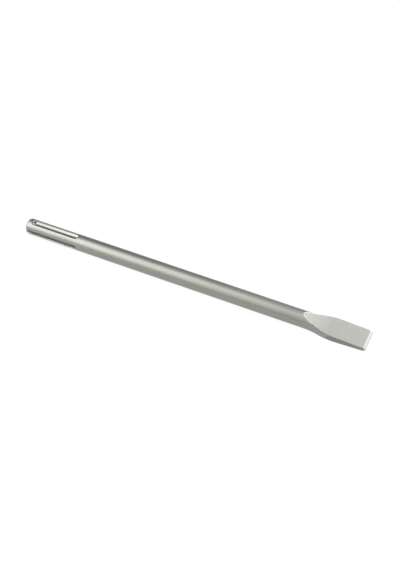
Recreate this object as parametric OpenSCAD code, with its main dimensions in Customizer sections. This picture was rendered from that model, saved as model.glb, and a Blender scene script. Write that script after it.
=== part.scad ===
// Flat chisel for a heavy rotary hammer, forged in one piece from round bar.
// X runs along the chisel, from the striking face at 0 to the cutting edge.
// The axis of the bar is the line Y = 0, Z = 0. All sizes are in millimetres.
// The modules draw the chisel with Y along its cutting edge and Z square to its two
// blade faces. The last line then rolls it about X by rest_roll, which is how it
// comes to rest on a floor: on its bar and on the front corner of its neck.

/* [Bar] */
// Diameter of the round bar, in the shank and in the body alike
bar_d = 18; // [17:0.1:19]
// Length over all, from the striking face to the cutting edge
overall_len = 400; // [280:5:600]

/* [Striking end] */
// Radius that rounds the rim of the striking face
rim_round = 2.7; // [1:0.1:4]

/* [Lock grooves] */
// Width of a lock groove at the surface of the bar
lock_w = 7.5; // [6:0.1:9]
// Depth of a lock groove below the surface of the bar
lock_depth = 3; // [2:0.1:3.8]
// Length of a lock groove at the surface of the bar
lock_len = 60.5; // [40:0.5:80]
// Distance from the striking face to the near end of a lock groove
lock_inset = 5.5; // [3:0.1:12]

/* [Drive slots] */
// Width of a drive slot at the surface of the bar
slot_w = 4.8; // [4:0.1:6]
// Width of a drive slot across its flat floor
slot_floor_w = 4.1; // [3:0.1:4.8]
// Depth of a drive slot below the surface of the bar
slot_depth = 2.5; // [1.5:0.1:3]
// Length of a drive slot, from the striking face to its rounded end
slot_len = 66; // [45:0.5:90]
// Angle of each twin slot from the middle of the far side, in degrees
twin_slot_angle = 35; // [20:1:48]

/* [Blade] */
// Width of the blade and of the cutting edge
blade_w = 25; // [22:0.5:32]
// Distance from the cutting edge to where the faces run out of the bar
face_len = 70; // [60:0.5:90]
// Radius of the hollow ramp at the root of each face
ramp_round = 138; // [90:1:200]
// Slope of each face from the ramp to the bevels, in degrees
face_slope = 3.1; // [2:0.1:4]
// Length of the neck, where the round bar spreads to the blade
neck_len = 34; // [26:0.5:45]
// Distance from the cutting edge to the wide end of the neck
neck_inset = 33; // [20:0.5:40]
// Radius by which the long corners of the blade stand out past its flat sides
corner_swell = 0.45; // [0.2:0.05:0.8]

/* [Cutting edge] */
// Thickness of the blade where the bevels start
bevel_start_t = 3.9; // [3:0.1:5]
// Length of the long bevel on each face, measured along the axis
long_bevel_len = 1.8; // [1:0.1:3.5]
// Slope of the long bevels, in degrees
long_bevel_slope = 22; // [10:1:25]
// Length of the short steep bevel on each face, measured along the axis
short_bevel_len = 0.9; // [0.3:0.1:1.5]
// Thickness left flat at the cutting edge itself
edge_t = 0.6; // [0.2:0.1:1]

/* [Hidden] */
$fn = 96;
bar_r = bar_d / 2;
// How far a cutter reaches past what it cuts
over = 4;

// Lock groove: a round section whose chord at the surface is lock_w wide
lock_chord_z = sqrt(bar_r * bar_r - lock_w * lock_w / 4);
lock_rise = lock_chord_z - (bar_r - lock_depth);
lock_r = (lock_w * lock_w / 4 + lock_rise * lock_rise) / (2 * lock_rise);
lock_axis_z = bar_r - lock_depth + lock_r;
// From the centre of a ball end to where it meets the surface of the bar
lock_end_reach = sqrt(lock_r * lock_r - pow(lock_axis_z - bar_r, 2));

// Drive slot: the flanks open by the same slope past the surface of the bar
slot_floor_z = bar_r - slot_depth;
slot_flare = (slot_w - slot_floor_w) / 2 / slot_depth;
slot_top_w = slot_floor_w + 2 * slot_flare * (slot_depth + over);

// Neck: two equal arcs, hollow then full, from bar_r out to swell_r
swell_r = blade_w / 2 + corner_swell;
neck_rise = swell_r - bar_r;
neck_arc_r = (neck_len * neck_len + neck_rise * neck_rise) / (4 * neck_rise);
neck_wide_x = overall_len - neck_inset;
neck_narrow_x = neck_wide_x - neck_len;
neck_mid_x = neck_wide_x - neck_len / 2;

// Faces: a straight slope up to the bevels, with the ramp's arc tangent to it
face_end_x = overall_len - long_bevel_len - short_bevel_len;
// Place of the run-out point along the sloping line and square to it
root_dx = overall_len - face_len - face_end_x;
root_dz = bar_r - bevel_start_t / 2;
root_along = -root_dx * cos(face_slope) + root_dz * sin(face_slope);
root_up = root_dx * sin(face_slope) + root_dz * cos(face_slope);
// Length of the straight slope, from the bevels to the start of the ramp
flat_along = root_along - sqrt(root_up * (2 * ramp_round - root_up));

// Bevels
bevel_mid_x = face_end_x + long_bevel_len;
bevel_mid_z = bevel_start_t / 2 - long_bevel_len * tan(long_bevel_slope);

// Where the arc of the ramp starts, and its centre
ramp_start_x = face_end_x - flat_along * cos(face_slope);
ramp_centre_x = ramp_start_x + ramp_round * sin(face_slope);
ramp_centre_z = bevel_start_t / 2 + flat_along * sin(face_slope) + ramp_round * cos(face_slope);

// Half the thickness between the faces at a place x on the neck
function face_z(x) = x > ramp_start_x
  ? bevel_start_t / 2 + (face_end_x - x) * tan(face_slope)
  : ramp_centre_z - sqrt(pow(ramp_round, 2) - pow(x - ramp_centre_x, 2));
// Radius of the turned neck at x
function neck_r(x) = x < neck_mid_x
  ? bar_r + neck_arc_r - sqrt(pow(neck_arc_r, 2) - pow(x - neck_narrow_x, 2))
  : swell_r - neck_arc_r + sqrt(pow(neck_arc_r, 2) - pow(neck_wide_x - x, 2));
// Roll at which the long corner of the neck at x comes down to the floor under the bar
function touch_roll(x) =
  let(z = min(face_z(x), bar_r), y = min(sqrt(pow(neck_r(x), 2) - z * z), blade_w / 2))
    asin(min(1, bar_r / norm([y, z]))) - atan2(z, y);
rest_roll = min([for (i = [0 : 68]) touch_roll(neck_narrow_x + neck_len * i / 68)]);

// Striking face, rounded rim, bar and neck, as a half outline: radius across, X up
module turned_outline() {
  square([bar_r - rim_round, rim_round]);
  intersection() {
    translate([bar_r - rim_round, rim_round])
      circle(rim_round);
    translate([bar_r - rim_round, 0])
      square([rim_round, rim_round]);
  }
  translate([0, rim_round])
    square([bar_r, neck_narrow_x - rim_round]);
  neck_outline();
  translate([0, neck_wide_x])
    square([swell_r, neck_inset]);
}

// The neck's S-shaped side: a hollow arc off the bar, then a full arc into the blade
module neck_outline() {
  difference() {
    translate([0, neck_narrow_x])
      square([bar_r + neck_rise / 2, neck_len / 2]);
    translate([bar_r + neck_arc_r, neck_narrow_x])
      circle(neck_arc_r);
  }
  intersection() {
    translate([0, neck_mid_x])
      square([swell_r, neck_len / 2]);
    translate([swell_r - neck_arc_r, neck_wide_x])
      circle(neck_arc_r);
  }
}

module forged_blank() {
  rotate([90, 0, 90])
    rotate_extrude()
      turned_outline();
}

// What the dies press away above one face, as a side view: X across, Z up
module face_waste_outline() {
  translate([face_end_x, bevel_start_t / 2])
    rotate(-face_slope) {
      translate([-flat_along, 0])
        square([flat_along + over, swell_r + over]);
      translate([-flat_along, ramp_round])
        circle(ramp_round);
    }
}

// What the grinder takes away above one face at the cutting edge
module bevel_waste_outline() {
  polygon([
    [face_end_x, bevel_start_t / 2],
    [bevel_mid_x, bevel_mid_z],
    [overall_len, edge_t / 2],
    [overall_len + over, edge_t / 2],
    [overall_len + over, bevel_start_t + over],
    [face_end_x, bevel_start_t + over]
  ]);
}

module face_cutter() {
  rotate([90, 0, 0])
    linear_extrude(2 * (swell_r + over), center = true)
      face_waste_outline();
  rotate([90, 0, 0])
    linear_extrude(2 * (swell_r + over), center = true)
      bevel_waste_outline();
}

// Leaves the flat side of the blade
module side_cutter() {
  translate([neck_narrow_x, blade_w / 2, -swell_r])
    cube([neck_len + neck_inset + over, swell_r, 2 * swell_r]);
}

// One closed groove with ball ends, above the bar
module lock_cutter() {
  first_x = lock_inset + lock_end_reach;
  last_x = lock_inset + lock_len - lock_end_reach;
  translate([first_x, 0, lock_axis_z])
    rotate([0, 90, 0])
      cylinder(h = last_x - first_x, r = lock_r);
  translate([first_x, 0, lock_axis_z])
    sphere(lock_r);
  translate([last_x, 0, lock_axis_z])
    sphere(lock_r);
}

// One open slot with sloping flanks and a rounded end, above the bar
module slot_cutter() {
  end_x = slot_len - slot_w / 2;
  rotate([90, 0, 90])
    translate([0, slot_floor_z, -over])
      linear_extrude(end_x + over)
        polygon([
          [-slot_floor_w / 2, 0],
          [slot_floor_w / 2, 0],
          [slot_top_w / 2, slot_depth + over],
          [-slot_top_w / 2, slot_depth + over]
        ]);
  translate([end_x, 0, slot_floor_z])
    cylinder(h = slot_depth + over, r1 = slot_floor_w / 2, r2 = slot_top_w / 2);
}

module chisel() {
  color([0.62, 0.62, 0.6])
    difference() {
      forged_blank();
      face_cutter();
      mirror([0, 0, 1])
        face_cutter();
      side_cutter();
      mirror([0, 1, 0])
        side_cutter();
      lock_cutter();
      mirror([0, 0, 1])
        lock_cutter();
      // The single slot is on the front, -Y, and the twin slots are on the far side
      rotate([90, 0, 0])
        slot_cutter();
      rotate([-90 - twin_slot_angle, 0, 0])
        slot_cutter();
      rotate([-90 + twin_slot_angle, 0, 0])
        slot_cutter();
    }
}

rotate([rest_roll, 0, 0]) chisel();
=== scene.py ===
# %% [markdown]
# # A flat chisel, forged from one round bar
#
# The real tool is a single piece of hardened steel: a slotted shank for the hammer,
# 260 mm of plain round bar, and a flat blade pressed out of the same bar. There is
# nothing to assemble, so the lesson is about two things. The first is a mesh whose
# every point follows a rule of the forge and the milling machine. The second is bare
# metal, which has almost no colour of its own and shows mostly what stands around it.
#
# The imported model comes first. It sets where everything is, in metres.

# %% Load the imported chisel
import math

import bpy
from mathutils import Matrix, Vector


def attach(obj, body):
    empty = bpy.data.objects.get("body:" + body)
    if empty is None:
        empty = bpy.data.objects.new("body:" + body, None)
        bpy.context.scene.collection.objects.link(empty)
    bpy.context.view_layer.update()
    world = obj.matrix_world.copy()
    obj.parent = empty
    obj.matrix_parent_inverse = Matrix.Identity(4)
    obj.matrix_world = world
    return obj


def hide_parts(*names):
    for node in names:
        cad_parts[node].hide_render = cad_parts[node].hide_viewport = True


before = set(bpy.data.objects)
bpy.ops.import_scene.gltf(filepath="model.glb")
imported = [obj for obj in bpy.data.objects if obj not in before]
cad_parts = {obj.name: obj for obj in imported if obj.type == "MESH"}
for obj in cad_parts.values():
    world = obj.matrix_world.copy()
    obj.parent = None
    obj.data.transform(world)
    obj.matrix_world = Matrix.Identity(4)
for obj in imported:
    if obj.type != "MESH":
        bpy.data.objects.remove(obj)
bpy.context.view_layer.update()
MM = 0.001

# %% [markdown]
# ## The sizes of the chisel
#
# The mesh follows the drawing of the solid, so it needs the drawing's numbers. They
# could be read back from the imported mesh, but that mesh is made of coarse facets, and
# its arcs are only known to a tenth of a millimetre. Repeating the drawing's few sizes
# here keeps every curve exact. X runs along the bar. The rule is written for a chisel
# with its blade level, so "up" is square to the blade's upper face.
#
# One shape differs on purpose. The drawing makes the lock grooves 3 mm deep and 7.5 mm
# wide. The dark and light lines in the photo fit a groove half a millimetre deeper and
# wider, so the shown one is cut to that, with a cutter of 4.35 mm radius.

# %% Sizes from the drawing, in millimetres
bar_radius = 9.0
length = 400.0
rim_round = 2.7

# The round cutter of a lock groove: its radius, its height over the bar's axis, and the
# first and last place of its centre
lock_radius, lock_axis = 4.35, 9.8
lock_first, lock_last = 9.776, 61.724
# The tapered cutter of a drive slot: floor height, last place of its centre, half width
# at the floor, flare per millimetre of height, and the angle of the twin slots
slot_floor, slot_end = 6.5, 63.6
slot_half, slot_flare = 2.05, 0.14
twin_angle = math.radians(35)

blade_half = 12.5
swell_radius = 12.95
neck_start, neck_length = 333.0, 34.0
neck_arc = (neck_length**2 + (swell_radius - bar_radius) ** 2) / (4 * (swell_radius - bar_radius))

# The blade's half thickness where its face ends, between the bevels, and at the edge
ramp_radius, ramp_root = 138.0, 330.0
face_slope = math.radians(3.1)
face_end, face_end_half = 397.3, 1.95
bevel_mid, bevel_mid_half = 399.1, 1.2227
edge_half = 0.3

across = (ramp_root - face_end) * math.sin(face_slope) + (bar_radius - face_end_half) * math.cos(face_slope)
along = -(ramp_root - face_end) * math.cos(face_slope) + (bar_radius - face_end_half) * math.sin(face_slope)
flat_length = along - math.sqrt(across * (2 * ramp_radius - across))
ramp_start = face_end - flat_length * math.cos(face_slope)
ramp_x = ramp_start + ramp_radius * math.sin(face_slope)
ramp_up = face_end_half + flat_length * math.sin(face_slope) + ramp_radius * math.cos(face_slope)
face_at_neck = ramp_up - math.sqrt(ramp_radius**2 - (neck_start - ramp_x) ** 2)
print("ramp ends at", round(ramp_start, 2), "mm and the neck arcs have radius", round(neck_arc, 2))

# %% [markdown]
# ## How it lies
#
# A round bar rolls, and this one rolls until the front corner of its neck meets the
# floor. That corner stands at the bar's own radius from the axis, at the height of the
# blade face there, so the roll is the angle whose cosine is that height over the
# radius. The mesh is made level, which keeps its rule simple, and is rolled last.

# %% The roll of the resting chisel
rest_roll = math.acos(face_at_neck / bar_radius)
lying = Matrix.Rotation(rest_roll, 4, "X")
print("the chisel has rolled by", round(math.degrees(rest_roll), 2), "degrees")

# %% [markdown]
# ## The camera
#
# The view was worked out from the outlines of the bar, the grooves and the cutting
# edge, all in the level frame of the blade. Turning that camera with the chisel keeps
# the picture the same while the floor stays level. It could be placed by a target and
# a distance instead, but a written-out position is easier to compare and repeat.

# %% Place the camera
def camera_matrix(place, azimuth, elevation, roll):
    """Where a camera is that looks at the chisel in the level frame, angles in degrees."""
    a, e, r = math.radians(azimuth), math.radians(elevation), math.radians(roll)
    back = Vector((math.sin(a) * math.cos(e), -math.cos(a) * math.cos(e), math.sin(e)))
    right = Vector((math.cos(a), math.sin(a), 0))
    up = back.cross(right)
    side = math.cos(r) * right + math.sin(r) * up
    top = math.cos(r) * up - math.sin(r) * right
    turned = Matrix((side, top, back)).transposed().to_4x4()
    return Matrix.Translation(Vector(place)) @ turned


camera_place = (0.525738, -0.584300, 0.722903)
camera_azimuth, camera_elevation, camera_roll = 28.117, 47.58, -2.675
lens = bpy.data.cameras.new("photo_camera")
lens.lens = 58.89
lens.sensor_width = 36
camera = bpy.data.objects.new("photo_camera", lens)
bpy.context.scene.collection.objects.link(camera)
camera.matrix_world = lying @ camera_matrix(camera_place, camera_azimuth, camera_elevation, camera_roll)
bpy.context.scene.camera = camera
print("camera at", [round(v, 3) for v in camera.location])

# %% [markdown]
# ## A workbench for nodes
#
# The mesh, the steel, the floor and the studio are all node trees. Nodes are tedious to
# wire by hand, so two small tools do it. `add` makes any node: its settings are set
# first, because they can change which sockets exist, and then its sockets take values
# or other nodes' outputs. `Wire` wraps an output so that plain Python sums add the Math
# nodes, and `1 - mask` or `0.5 * width` can be written as they are meant.

# %% Node tools
class Wire:
    """An output socket that Python arithmetic can use."""

    def __init__(self, tree, socket):
        self.tree, self.socket = tree, socket

    def math(self, operation, *values):
        return add(self.tree, "ShaderNodeMath", {"operation": operation}, dict(enumerate(values)))[0]

    def __add__(self, other):
        return self.math("ADD", self, other)

    def __sub__(self, other):
        return self.math("SUBTRACT", self, other)

    def __rsub__(self, other):
        return self.math("SUBTRACT", other, self)

    def __mul__(self, other):
        return self.math("MULTIPLY", self, other)

    def __truediv__(self, other):
        return self.math("DIVIDE", self, other)

    def __pow__(self, other):
        return self.math("POWER", self, other)

    def __gt__(self, other):
        return self.math("GREATER_THAN", self, other)

    def __lt__(self, other):
        return self.math("LESS_THAN", self, other)

    __radd__, __rmul__ = __add__, __mul__

    def least(self, other):
        return self.math("MINIMUM", self, other)

    def most(self, other):
        return self.math("MAXIMUM", self, other)

    def root(self):
        return self.math("SQRT", self.most(0.0))

    def held(self):
        """The value, kept between 0 and 1."""
        return self.most(0.0).least(1.0)


class Made:
    """A node that add() made; its outputs come by name or number."""

    def __init__(self, tree, node):
        self.tree, self.node = tree, node

    def __getitem__(self, key):
        return Wire(self.tree, self.node.outputs[key])


def add(tree, kind, settings=None, sockets=None):
    """Adds a node: settings first, then a value or a wire for each named socket."""
    node = tree.nodes.new(kind)
    for name, value in (settings or {}).items():
        setattr(node, name, value)
    for key, value in (sockets or {}).items():
        if isinstance(value, Wire):
            tree.links.new(value.socket, node.inputs[key])
        else:
            node.inputs[key].default_value = value
    return Made(tree, node)


def between(value, start, end):
    """How far a wire has come from start to end, held between 0 and 1."""
    return ((value - start) / (end - start)).held()


# %% [markdown]
# ## The rule of the forging
#
# Think of a smith's drawing. At any place along the bar, the section is a disc that has
# been clipped: above and below by the two blade faces, and left and right by the flat
# sides of the blade. Only three curves change along the way: the radius of the disc,
# the half height of the faces and the half width of the sides. So the whole forging
# can be a flat grid that is wrapped round that section, row by row. Rows bunch up where
# a curve is quick. Columns are shared out between face, round and side, so the long
# corners of the blade fall exactly on edges of the mesh and stay crisp.
#
# Sculpting or box modelling could give the outline too, but not the true arcs, and a
# bought or imported solid would not teach how the blade comes out of the bar.

# %% Rows and columns of the wrapping grid
zones = [
    ("end face", 3, 0.0),
    ("rim", 8, rim_round),
    ("shank", 48, 70.0 - rim_round),
    ("bar", 26, 260.0),
    ("tongue tip", 14, 4.0),
    ("neck", 52, 33.0),
    ("blade", 16, 30.3),
    ("long bevel", 3, bevel_mid - face_end),
    ("short bevel", 2, length - bevel_mid),
    ("edge", 1, 0.0),
]
first_row = {}
rows = 0
for name, count, run in zones:
    first_row[name] = rows
    rows += count
face_columns, round_columns, side_columns = 10, 40, 4
quarter = face_columns + round_columns + side_columns
columns = 4 * quarter
print(rows, "rows of faces by", columns, "columns, along", sum(z[2] for z in zones), "mm")


# %% [markdown]
# ## Named sizes
#
# The tree gets its sizes through named inputs, so the same tree could make a shorter or
# wider chisel. A small table keeps each name beside its value. The modifier later sets
# them by the identifiers that Blender gives the inputs, since names may repeat.

# %% Start the tree
forging = bpy.data.node_groups.new("forged_chisel", "GeometryNodeTree")
sizes = {}


def size_input(name, value):
    """Adds a named input and keeps its value beside Blender's identifier for it."""
    socket = forging.interface.new_socket(name, in_out="INPUT", socket_type="NodeSocketFloat")
    sizes[socket.identifier] = float(value)


forging.interface.new_socket("Geometry", in_out="OUTPUT", socket_type="NodeSocketGeometry")
for name, value in {
    "Bar radius": bar_radius * MM,
    "Rim rounding": rim_round * MM,
    "Neck start": neck_start * MM,
    "Neck length": neck_length * MM,
    "Swell radius": swell_radius * MM,
    "Blade half width": blade_half * MM,
    "Ramp radius": ramp_radius * MM,
    "Ramp centre X": ramp_x * MM,
    "Ramp centre up": ramp_up * MM,
    "Ramp start": ramp_start * MM,
    "Face slope": math.tan(face_slope),
    "Face end": face_end * MM,
    "Face end half height": face_end_half * MM,
    "Bevel middle half height": bevel_mid_half * MM,
    "Edge half height": edge_half * MM,
    "Rest roll": rest_roll,
}.items():
    size_input(name, value)
given = add(forging, "NodeGroupInput")
print(len(sizes), "named sizes")

# %% Rows to places along the bar
grid = add(forging, "GeometryNodeMeshGrid", None, {
    "Size X": float(rows), "Size Y": float(columns),
    "Vertices X": rows + 1, "Vertices Y": columns + 1})
spot = add(forging, "ShaderNodeSeparateXYZ", None, {0: add(forging, "GeometryNodeInputPosition")[0]})
row = spot["X"] + rows / 2
column = spot["Y"] + columns / 2


def come(zone):
    """How far the rows have come through a zone, from 0 to 1."""
    start = first_row[zone]
    count = next(z[1] for z in zones if z[0] == zone)
    return between(row, start, start + count)


rim_turn = come("rim") * (math.pi / 2)
x = given["Rim rounding"] * (1 - rim_turn.math("COSINE", rim_turn))
for name, count, run in zones:
    if name == "tongue tip":
        x = x + come(name) ** 2.0 * (run * MM)
    elif run and name != "rim":
        x = x + come(name) * (run * MM)
print("rows follow", len(zones), "zones")

# %% The three curves of the section
inner = given["Bar radius"] - given["Rim rounding"]
end_radius = inner * come("end face") + given["Rim rounding"] * rim_turn.math("SINE", rim_turn)

rise = given["Swell radius"] - given["Bar radius"]
neck_curve = (given["Neck length"] ** 2.0 + rise ** 2.0) / (4.0 * rise)
into_neck = (x - given["Neck start"]).most(0.0).least(given["Neck length"])
hollow = neck_curve - (neck_curve ** 2.0 - into_neck ** 2.0).root()
full = rise - neck_curve + (neck_curve ** 2.0 - (given["Neck length"] - into_neck) ** 2.0).root()
past_middle = into_neck > given["Neck length"] * 0.5
radius = end_radius + hollow + (full - hollow) * past_middle

ramp = given["Ramp centre up"] - (given["Ramp radius"] ** 2.0 - (x - given["Ramp centre X"]) ** 2.0).root()
slope = given["Face end half height"] + (given["Face end"] - x) * given["Face slope"]
on_slope = x > given["Ramp start"]
face = ramp + (slope - ramp) * on_slope
long_part = come("long bevel") * (given["Face end half height"] - given["Bevel middle half height"])
short_part = come("short bevel") * (given["Bevel middle half height"] - given["Edge half height"])
ground = given["Face end half height"] - long_part - short_part
past_face = x > given["Face end"]
face = face + (ground - face) * past_face
blade_begins, clear_of_bar = 320 * MM, 20 * MM
face = face + (x < blade_begins) * clear_of_bar
print("radius, face height and half width are set for every row")

# %% [markdown]
# ## Wrapping the grid
#
# The two curves of a face only count on the blade. On the plain bar the face is set
# well outside the disc, where it clips nothing.
#
# Each quarter of the section runs from the middle of a face, out to the long corner,
# round the bar to the flat side, and down to the middle of that side. On the plain bar
# the face and the side have no width, so their columns fall together, and a merge
# removes them. The last row and the first one close the two ends in the same way.

# %% Columns to places round the section
half = given["Blade half width"]
face_up = face.least(radius)
corner_out = (radius ** 2.0 - face_up ** 2.0).root().least(half)
side_out = half.least(radius)
side_up = (radius ** 2.0 - side_out ** 2.0).root().least(face_up)

quarters = column / quarter
turn = quarters.math("FLOOR", quarters)
part = quarters - turn
odd = turn.math("MODULO", turn, 2.0)
q = (part + (1 - part * 2.0) * odd) * quarter
sign_out = 1 - 2.0 * (turn > 1.5)
under = (turn > 0.5) * (turn < 2.5)
sign_up = 1 - 2.0 * under

on_face = between(q, 0, face_columns)
on_round = between(q, face_columns, face_columns + round_columns)
on_side = between(q, face_columns + round_columns, quarter)
from_angle = face_up.math("ARCTAN2", face_up, corner_out)
to_angle = side_up.math("ARCTAN2", side_up, side_out)
angle = from_angle + (to_angle - from_angle) * on_round
reach = (face_up ** 2.0 + corner_out ** 2.0).root()
y_round = reach * angle.math("COSINE", angle)
z_round = reach * angle.math("SINE", angle)
face_share = q < face_columns - 0.5
side_share = q > face_columns + round_columns + 0.5
y = y_round + (corner_out * on_face - y_round) * face_share
z = z_round + (face_up - z_round) * face_share
y = y + (side_out - y) * side_share
z = z + (side_up * (1 - on_side) - z) * side_share
z = z * (1 - come("edge"))
wrapped = add(forging, "ShaderNodeCombineXYZ", None, {"X": x, "Y": y * sign_out, "Z": z * sign_up})

# %% [markdown]
# ## Which faces the grinder and the cutter touched
#
# The finish of the steel changes exactly where a tool has been. A painted mask would
# blur that line, so every face carries a number that says what made it: 0 for the
# blasted forging, 1 for a ground blade face, 2 for a blade side, 3 and 4 for the two
# bevels, 5 for a lock groove and 6 for a drive slot. The steel reads the number later.
# Each point also carries its distance from the long corner of the blade, for a painted
# highlight along the rim of a face, where the corner would catch the light.

# %% Number the faces, then wrap
on_flat = (q < face_columns) * (row > first_row["tongue tip"])
side_flat = (q > face_columns + round_columns) * (row > first_row["tongue tip"])
finish_number = on_flat + side_flat * 2.0
in_long = row > first_row["long bevel"]
in_short = row > first_row["short bevel"]
finish_number = finish_number * (1 - in_long) + in_long * 3.0 + in_short
numbered = add(forging, "GeometryNodeStoreNamedAttribute", {"data_type": "FLOAT", "domain": "FACE"}, {
    "Geometry": grid["Mesh"], "Name": "finish", "Value": finish_number})
gapped = add(forging, "GeometryNodeStoreNamedAttribute", {"data_type": "FLOAT", "domain": "POINT"}, {
    "Geometry": numbered[0], "Name": "rim_gap", "Value": corner_out - y})
shaped = add(forging, "GeometryNodeSetPosition", None, {"Geometry": gapped[0], "Position": wrapped[0]})
joined = add(forging, "GeometryNodeMergeByDistance", None, {"Geometry": shaped[0], "Distance": 0.004 * MM})

# %% [markdown]
# ## Cutting the shank
#
# A ball-nosed cutter mills each lock groove, and a shank has two of them, opposite each
# other. A tapered end mill cuts each drive slot, and there are three: one at the front
# and two on the far side. A repeated cut is one tool and a list of turns, so the tool
# is made once and instanced. The round-ended tool is a sphere pulled out along X, and
# the tapered one is a cone whose back half runs out past the end of the bar.

# %% Tools, turned round the bar and taken away from it
def pulled(shape, ahead, behind):
    """Moves the front half of a tool forward and its back half backward, in metres."""
    place = add(forging, "ShaderNodeSeparateXYZ", None, {0: add(forging, "GeometryNodeInputPosition")[0]})
    move = (place["X"] > 0.0) * (ahead + behind) - behind
    offset = add(forging, "ShaderNodeCombineXYZ", None, {"X": move})
    return add(forging, "GeometryNodeSetPosition", None, {"Geometry": shape, "Offset": offset[0]})[0]


def around(shape, count, turns):
    """Instances a tool round the bar; turns is a wire of angles by index."""
    spots = add(forging, "GeometryNodeMeshLine", None, {
        "Count": count, "Offset": (0.0, 0.0, 0.0)})
    facing = add(forging, "ShaderNodeCombineXYZ", None, {"X": turns})
    placed = add(forging, "GeometryNodeInstanceOnPoints", None, {
        "Points": spots["Mesh"], "Instance": shape, "Rotation": facing[0]})
    return add(forging, "GeometryNodeRealizeInstances", None, {"Geometry": placed[0]})[0]


index = add(forging, "GeometryNodeInputIndex")[0]

ball = add(forging, "GeometryNodeMeshUVSphere", None, {
    "Segments": 96, "Rings": 49, "Radius": lock_radius * MM})
laid = add(forging, "GeometryNodeTransform", None, {
    "Geometry": ball["Mesh"], "Rotation": (0, math.pi / 2, 0)})
lock_tool = pulled(laid[0], lock_last * MM, -lock_first * MM)
lock_tool = add(forging, "GeometryNodeTransform", None, {
    "Geometry": lock_tool, "Translation": (0, 0, lock_axis * MM)})[0]
lock_tools = around(lock_tool, 2, index * math.pi)

mill_depth, past_the_end, mill_sides = 6.5, 4, 64
mill = add(forging, "GeometryNodeMeshCone", {"fill_type": "NGON"}, {
    "Vertices": mill_sides, "Radius Bottom": slot_half * MM,
    "Radius Top": (slot_half + slot_flare * mill_depth) * MM, "Depth": mill_depth * MM})
mill = add(forging, "GeometryNodeTransform", None, {
    "Geometry": mill["Mesh"], "Rotation": (0, 0, math.pi / mill_sides)})
slot_tool = pulled(mill[0], slot_end * MM, past_the_end * MM)
slot_tool = add(forging, "GeometryNodeTransform", None, {
    "Geometry": slot_tool, "Translation": (0, 0, slot_floor * MM)})[0]
# The first slot is at the front, and the next two are a twin angle either side of the back
slot_turns = math.pi / 2 - (index > 0.5) * (math.pi + 3 * twin_angle) + index * (2 * twin_angle)
slot_tools = around(slot_tool, 3, slot_turns)

lock_tools = add(forging, "GeometryNodeStoreNamedAttribute", {"data_type": "FLOAT", "domain": "FACE"}, {
    "Geometry": lock_tools, "Name": "finish", "Value": 5.0})[0]
slot_tools = add(forging, "GeometryNodeStoreNamedAttribute", {"data_type": "FLOAT", "domain": "FACE"}, {
    "Geometry": slot_tools, "Name": "finish", "Value": 6.0})[0]
tools = add(forging, "GeometryNodeJoinGeometry", None, {"Geometry": lock_tools})
forging.links.new(slot_tools.socket, tools.node.inputs[0])
cut = add(forging, "GeometryNodeMeshBoolean", {"operation": "DIFFERENCE", "solver": "EXACT"}, {
    "Mesh 1": joined[0], "Mesh 2": tools[0]})
print("two lock cuts and three drive cuts")

# %% [markdown]
# ## Out of the tree
#
# The tree ends as every tree here must: real geometry with its material on. The roll
# that lays the chisel down comes last of all. The result is read back as a plain mesh,
# and a narrow bevel breaks the sharp edges, as tumbling and blasting do on the bench.

# %% Finish the tree
steel = bpy.data.materials.new("chisel_steel")
rolled = add(forging, "ShaderNodeCombineXYZ", None, {"X": given["Rest roll"]})
welded = add(forging, "GeometryNodeMergeByDistance", None, {"Geometry": cut["Mesh"], "Distance": 0.01 * MM})
lain = add(forging, "GeometryNodeTransform", None, {"Geometry": welded[0], "Rotation": rolled[0]})
real = add(forging, "GeometryNodeRealizeInstances", None, {"Geometry": lain[0]})
smooth = add(forging, "GeometryNodeSetShadeSmooth", None, {"Geometry": real[0]})
clad = add(forging, "GeometryNodeSetMaterial", None, {"Geometry": smooth[0], "Material": steel})
add(forging, "NodeGroupOutput", None, {"Geometry": clad[0]})

blank = bpy.data.objects.new("blank", bpy.data.meshes.new("blank"))
bpy.context.scene.collection.objects.link(blank)
rule = blank.modifiers.new("forging", "NODES")
rule.node_group = forging
for identifier, value in sizes.items():
    rule[identifier] = value
dressed_edges = blank.modifiers.new("broken_edges", "BEVEL")
dressed_edges.width = 0.16 * MM
dressed_edges.segments = 2
dressed_edges.limit_method = "ANGLE"
dressed_edges.angle_limit = math.radians(24)
shown = bpy.data.meshes.new_from_object(blank.evaluated_get(bpy.context.evaluated_depsgraph_get()))
bpy.data.objects.remove(blank)
shown.name = "flat_chisel"
shown.set_sharp_from_angle(angle=math.radians(32))
chisel = bpy.data.objects.new("flat_chisel", shown)
bpy.context.scene.collection.objects.link(chisel)
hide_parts("chisel")
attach(chisel, "root")
print(len(shown.vertices), "points and", len(shown.polygons), "faces")

# %% [markdown]
# ## The steel
#
# One piece of steel has seven surfaces here. The bar was shot-blasted after hardening, so
# it is dull, finely pitted and slightly cloudy. The grooves were milled, which leaves
# them smoother. The drive slots also get painted shade deep down and a painted highlight
# up their flank. The blade faces were ground across, the sides were ground upright, and
# the two bevels were ground last and are the brightest. One material could be made for
# each, but then every border would be a separate surface. Here the number on each face
# picks a tone and a roughness from one table, and the grain of each tool and a few painted
# highlights are laid over it. All grain follows the object's own coordinates, turned back
# by the roll, so "across" means the same for the steel and for the mesh.

# %% Where on the chisel, and which surface
steel.use_nodes = True
wires = steel.node_tree
wires.nodes.clear()
own = add(wires, "ShaderNodeTexCoord")["Object"]
level = add(wires, "ShaderNodeMapping", {"vector_type": "POINT"}, {
    "Vector": own, "Rotation": (-rest_roll, 0, 0)})["Vector"]


def stored(name):
    """A value that the mesh carries."""
    return add(wires, "ShaderNodeAttribute", {"attribute_type": "GEOMETRY", "attribute_name": name})["Fac"]


number = stored("finish")
rim_gap = stored("rim_gap")


def surface_is(value):
    """1 on the faces that carry this number."""
    return (number > value - 0.5) * (number < value + 0.5)


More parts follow.
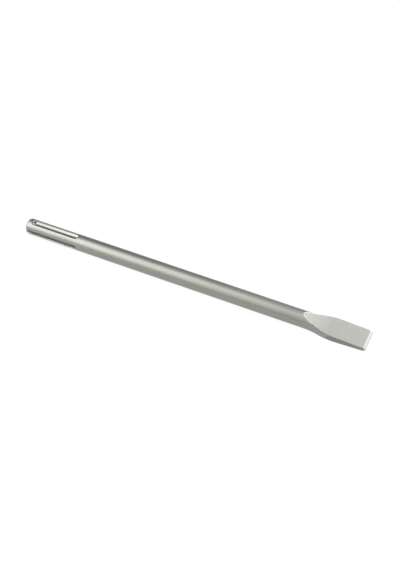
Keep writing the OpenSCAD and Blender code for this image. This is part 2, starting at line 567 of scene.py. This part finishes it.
def grain(scale, stretch, detail=2.0):
    """Noise from -1 to 1 that is drawn out along an axis; scale counts per metre."""
    place = add(wires, "ShaderNodeMapping", {"vector_type": "POINT"}, {
        "Vector": level, "Scale": tuple(scale * part for part in stretch)})["Vector"]
    noise = add(wires, "ShaderNodeTexNoise", None, {"Vector": place, "Scale": 1.0, "Detail": detail})
    return noise[0] * 2.0 - 1.0


blasted, face_ground, side_ground, long_ground, short_ground, lock_milled, slot_milled = (
    surface_is(n) for n in range(7))
spot_on_bar = add(wires, "ShaderNodeSeparateXYZ", None, {0: level})
from_axis = (spot_on_bar["Y"] ** 2.0 + spot_on_bar["Z"] ** 2.0).root()
print("seven surfaces told apart")

# %% Tone and roughness of each surface
clouds = grain(45, (1, 1, 1), 3.0)
pits = grain(1100, (1, 1, 1), 3.0)
cross_lines = grain(1.0, (1500, 60, 300))
upright_lines = grain(1.0, (1300, 60, 60))
long_lines = grain(1.0, (60, 1800, 1800))

plunge = 1 - between(spot_on_bar["X"], 9.4 * MM, 11 * MM)
# Painted highlight: the blade face is made lighter where it rises up the ramp, as if the ramp caught the
# light.
painted_ramp_highlight = 1 - between(spot_on_bar["X"], 336 * MM, 358 * MM)
# Painted highlight: a thin lighter line beside the long corner of each blade face, stronger on the ramp.
painted_rim_highlight = (1 - between(rim_gap, 0.6 * MM, 1.4 * MM)) * (0.05 + painted_ramp_highlight * 0.11)
# Painted glint: the last few tenths of a millimetre at the cutting edge are made lighter.
painted_edge_glint = between(spot_on_bar["X"], 399.5 * MM, 399.9 * MM) * 0.14
# Painted shade and painted highlight: each drive slot is darker deep down and lighter up its flank toward the
# rim.
painted_slot_shade_and_highlight = between(from_axis, 6.9 * MM, 8.6 * MM)
# Each row: the surface, its plain tone, what its grain, marks and any painted highlight or shade add to the
# tone, its roughness
table = (
    (blasted, 0.30, clouds * 0.018 + pits * 0.035, 0.40),
    (face_ground, 0.36, painted_ramp_highlight * 0.035 + cross_lines * 0.06 + pits * 0.012 + painted_rim_highlight, 0.35),
    (side_ground, 0.235, upright_lines * 0.06, 0.40),
    (long_ground, 0.36, cross_lines * 0.03, 0.30),
    (short_ground, 0.27, cross_lines * 0.02 + painted_edge_glint, 0.34),
    (lock_milled, 0.25, long_lines * 0.02 + plunge * 0.03, plunge * 0.08 + 0.24),
    (slot_milled, 0.20, painted_slot_shade_and_highlight * 0.2, 0.38),
)
tone, rough = 0.0, pits * 0.03
for surface_mask, plain_tone, added, roughness in table:
    tone = surface_mask * (added + plain_tone) + tone
    rough = surface_mask * roughness + rough

# %% [markdown]
# ## Pits and lines
#
# Tone alone looks printed on. The blast pits and the grinding lines also tip the
# surface a little, which breaks up the highlight where light rakes along the bar. The
# depth stays at hundredths of a millimetre, because deeper grain sparkles at this size.

# %% Bump, and the steel put together
ground_across = face_ground + long_ground + short_ground
height = blasted * pits * 0.6 + ground_across * cross_lines * 0.5
height = height + side_ground * upright_lines * 0.6 + (lock_milled + slot_milled) * long_lines * 0.1
bump = add(wires, "ShaderNodeBump", None, {"Strength": 0.5, "Distance": 0.00004, "Height": height})
warmth = 0.935 + ground_across * 0.02
colour = add(wires, "ShaderNodeCombineColor", None, {0: tone, 1: tone * 1.004, 2: tone * warmth})
surface = add(wires, "ShaderNodeBsdfPrincipled", None, {
    "Base Color": colour[0], "Metallic": 1.0, "Roughness": rough, "Normal": bump[0]})
add(wires, "ShaderNodeOutputMaterial", None, {"Surface": surface[0]})
print(len(wires.nodes), "nodes in the steel")

# %% [markdown]
# ## The floor
#
# The photo is a catalogue picture on plain white. A real studio lays the tool on white
# paper or on a light table and exposes until the ground is white. Doing the same here
# would need lamps so strong that the pale steel burned out with the paper. The floor is
# two surfaces in one instead, and the kind of ray picks between them. To the camera, and
# to rays mirrored in the steel, it gives off its own even white and adds a faint
# diffuse part that takes the chisel's shadow. To all other rays it is ordinary paper.
# It lies at the lowest line of the bar, where the chisel rests.
#
# The photo's bar is darker low on its front side toward the blade, as if something grey
# stood there beyond the paper. Only rays mirrored in the steel see that, so the white
# falls off for them alone, in front of the chisel and toward the blade.

# %% Floor
bench_top = bpy.data.meshes.new("floor")
reach_out = 8.0
low = -bar_radius * MM
corners = [(right * reach_out, away * reach_out, low) for right, away in ((-1, -1), (1, -1), (1, 1), (-1, 1))]
bench_top.from_pydata(corners, [], [(0, 1, 2, 3)])
floor = bpy.data.objects.new("floor", bench_top)
bpy.context.scene.collection.objects.link(floor)
paper = bpy.data.materials.new("white_floor")
paper.use_nodes = True
paper_wires = paper.node_tree
paper_wires.nodes.clear()
rays = add(paper_wires, "ShaderNodeLightPath")
seen = (rays["Is Camera Ray"] + rays["Is Glossy Ray"] + rays["Is Transmission Ray"]).held()
plain = add(paper_wires, "ShaderNodeBsdfDiffuse", None, {"Color": (0.8, 0.8, 0.8, 1)})
faint = add(paper_wires, "ShaderNodeBsdfDiffuse", None, {"Color": (0.1, 0.1, 0.1, 1)})
floor_spot = add(paper_wires, "ShaderNodeSeparateXYZ", None, {
    0: add(paper_wires, "ShaderNodeTexCoord")["Object"]})
falling = 1 - between(floor_spot["X"], 0, 280 * MM) * between(floor_spot["Y"], -35 * MM, -90 * MM) * 0.85
white = 1 + (falling - 1) * rays["Is Glossy Ray"]
glow = add(paper_wires, "ShaderNodeEmission", None, {
    "Color": add(paper_wires, "ShaderNodeCombineColor", None, {0: white, 1: white, 2: white})[0],
    "Strength": 0.92})
bright = add(paper_wires, "ShaderNodeAddShader", None, {0: faint[0], 1: glow[0]})
mixed = add(paper_wires, "ShaderNodeMixShader", None, {0: seen, 1: plain[0], 2: bright[0]})
add(paper_wires, "ShaderNodeOutputMaterial", None, {"Surface": mixed[0]})
floor.data.materials.append(paper)

# %% [markdown]
# ## The studio
#
# Bare steel looks like what stands around it, so the lights were placed by reading the
# reflections in the photo: a broad highlight above the middle of the bar, a dim band
# behind it, a lighter far edge, and a ramp and bevels that flash because they tip toward
# the blade end. Area lamps could do this, but each would be a hard-edged panel, and its
# edge would show as a line in every mirror-like part. A world can hold the same
# softboxes as round patches that fade at the rim, and it gives no noise.
#
# Each patch is one row: two angles that say where it hangs in the level frame, its
# width, and its strength. Low down all round is a pale band, like the white walls of
# the room, and above it the room is dim. The dim part gives the bar its dark bands.

# %% Studio
studio = bpy.data.worlds.new("studio")
bpy.context.scene.world = studio
studio.use_nodes = True
air = studio.node_tree
air.nodes.clear()
way = add(air, "ShaderNodeTexCoord")["Generated"]
ray = add(air, "ShaderNodeVectorMath", {"operation": "NORMALIZE"}, {0: way})[0]


def toward(direction):
    """Cosine of the angle between a ray and a direction given in the level frame."""
    d = (lying.to_3x3() @ Vector(direction)).normalized()
    return add(air, "ShaderNodeVectorMath", {"operation": "DOT_PRODUCT"}, {0: ray, 1: tuple(d)})["Value"]


def glow_patch(direction, inner_angle, outer_angle):
    """A round soft light: 1 inside the inner angle, fading to 0 at the outer one."""
    return add(air, "ShaderNodeMapRange", {"interpolation_type": "SMOOTHSTEP"}, {
        "Value": toward(direction), "From Min": math.cos(math.radians(outer_angle)),
        "From Max": math.cos(math.radians(inner_angle)), "To Min": 0.0, "To Max": 1.0})["Result"]


def slanted(forward, right):
    """A direction by its tilt from straight up: toward the viewer, then toward the blade."""
    f, r = math.radians(forward), math.radians(right)
    return (math.sin(r), -math.sin(f) * math.cos(r), math.cos(f) * math.cos(r))


# The pale band ends between these two heights on the unit sphere of directions
band_full, band_gone = 0.28, 0.42
dim_part, core_share = 0.2, 0.12
up = add(air, "ShaderNodeSeparateXYZ", None, {0: ray})["Z"]
light = 1 - between(up, band_full, band_gone) * (1 - dim_part)
for forward, right, width, strength in (
    (32, -42, 30, 4.05),
    (0, -25, 28, 2.45),
    (-37, -4, 20, 1.65),
    (-68, 24, 36, 4.1),
    (60, 59, 20, 8.0),
):
    light = glow_patch(slanted(forward, right), core_share * width, width) * strength + light
background = add(air, "ShaderNodeBackground", None, {"Color": (1.0, 0.995, 0.98, 1), "Strength": light})
add(air, "ShaderNodeOutputWorld", None, {"Surface": background[0]})

# %% [markdown]
# ## The view transform
#
# The plain view transform is used, because a film-like one would turn the white ground
# grey and flatten the steel.

# %% Colour
bpy.context.scene.view_settings.view_transform = "Standard"
